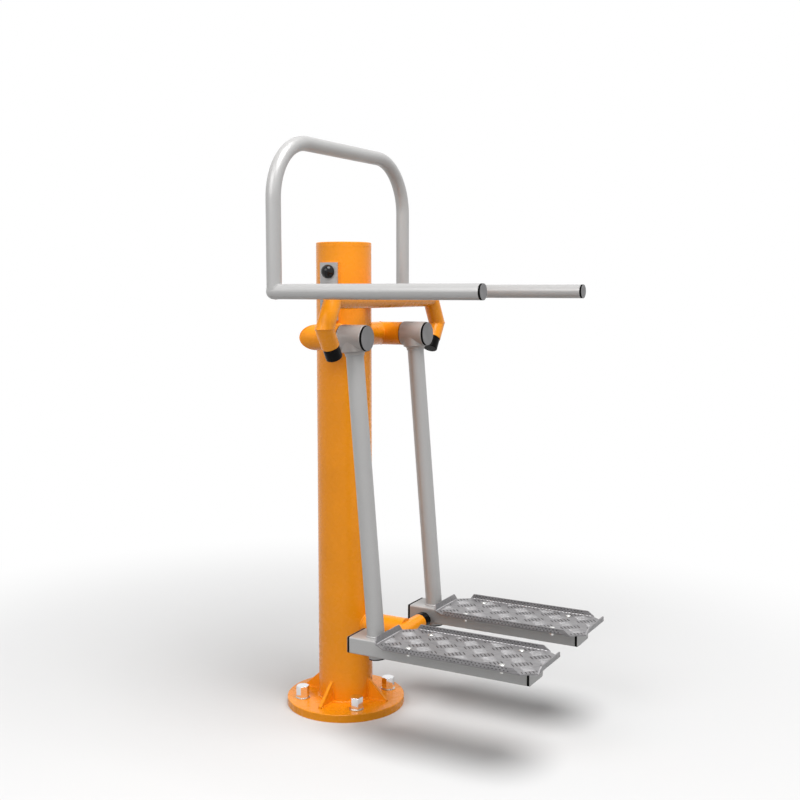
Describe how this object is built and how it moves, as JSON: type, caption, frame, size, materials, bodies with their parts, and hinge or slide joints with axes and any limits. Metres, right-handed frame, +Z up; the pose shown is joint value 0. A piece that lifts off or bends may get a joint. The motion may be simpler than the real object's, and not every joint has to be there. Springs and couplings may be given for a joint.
{
  "type": "outdoor adductor and abductor trainer",
  "caption": "Outdoor leg trainer: flanged post with a cross tube, sideways-swinging pendulum arms with foot trays, rubber stops, forward bars and a handrail hoop.",
  "frame": {"origin": "centre of the foot flange's underside, on the ground", "axes": "+Z up along the post; -Y forward, to the side where the user stands; +X to the user's right when the user faces the post from -Y, looking along +Y"},
  "size_m": [0.6452, 0.7827, 1.4387],
  "materials": {
    "orange_paint": "satin powder coat, warm orange",
    "silver_paint": "fine metallic powder coat, light silver grey",
    "hub_paint": "satin powder coat, warm grey",
    "tread_steel": "embossed sheet with raised grip teeth, dull grey",
    "stop_rubber": "matt black rubber",
    "seal_black": "matt black",
    "grey_plastic": "flat mid grey",
    "gloss_black": "polished black",
    "chrome": "bright chrome",
    "zinc": "zinc plated",
    "turned_steel": "turned",
    "bearing_steel": "ground"
  },
  "bodies": {
    "frame": {"base_flange": "orange_paint", "post": "orange_paint", "post_cap": "orange_paint", "foot_gussets": "orange_paint", "anchor_washers": "zinc", "anchor_nuts": "chrome", "axle_tube": "orange_paint", "left_axle": "turned_steel", "right_axle": "turned_steel", "left_bearing_inners": "bearing_steel", "right_bearing_inners": "bearing_steel", "left_bearing_balls": "bearing_steel", "right_bearing_balls": "bearing_steel", "bearing_spacers": "turned_steel", "axle_washers": "zinc", "axle_bolts": "zinc", "upper_stop_bracket": "orange_paint", "upper_stop_caps": "stop_rubber", "lower_stop_bracket": "orange_paint", "lower_stop_caps": "stop_rubber", "handrail_hoop": "silver_paint", "left_handle_bar": "silver_paint", "right_handle_bar": "silver_paint", "handrail_cross_arms": "silver_paint", "handrail_pads": "orange_paint", "handrail_plates": "silver_paint", "handrail_studs": "zinc", "handrail_washers": "zinc", "handrail_nuts": "zinc", "bolt_domes": "gloss_black", "handle_end_rings": "seal_black", "handle_end_discs": "grey_plastic"},
    "left_pendulum": {"left_hub": "hub_paint", "left_bearing_outers": "bearing_steel", "left_bearing_seals": "seal_black", "left_hub_ring": "seal_black", "left_hub_disc": "grey_plastic", "left_arm": "silver_paint", "left_arm_foot_plug": "seal_black", "left_beam": "silver_paint", "left_beam_end_seals": "seal_black", "left_beam_end_plates": "silver_paint", "left_tread": "tread_steel", "left_tread_lugs": "silver_paint", "left_tread_bolts": "zinc", "left_tread_nuts": "zinc"},
    "right_pendulum": {"right_hub": "hub_paint", "right_bearing_outers": "bearing_steel", "right_bearing_seals": "seal_black", "right_hub_ring": "seal_black", "right_hub_disc": "grey_plastic", "right_arm": "silver_paint", "right_arm_foot_plug": "seal_black", "right_beam": "silver_paint", "right_beam_end_seals": "seal_black", "right_beam_end_plates": "silver_paint", "right_tread": "tread_steel", "right_tread_lugs": "silver_paint", "right_tread_bolts": "zinc", "right_tread_nuts": "zinc"}
  },
  "joints": [
    {"name": "left_swing", "type": "hinge", "parent": "frame", "child": "left_pendulum", "pos_m": [-0.153, -0.1213, 0.9625], "axis": [0, 1, 0], "range_deg": [-0.95, 48.7]},
    {"name": "right_swing", "type": "hinge", "parent": "frame", "child": "right_pendulum", "pos_m": [0.153, -0.1213, 0.9625], "axis": [0, -1, 0], "range_deg": [-0.95, 48.7]}
  ]
}
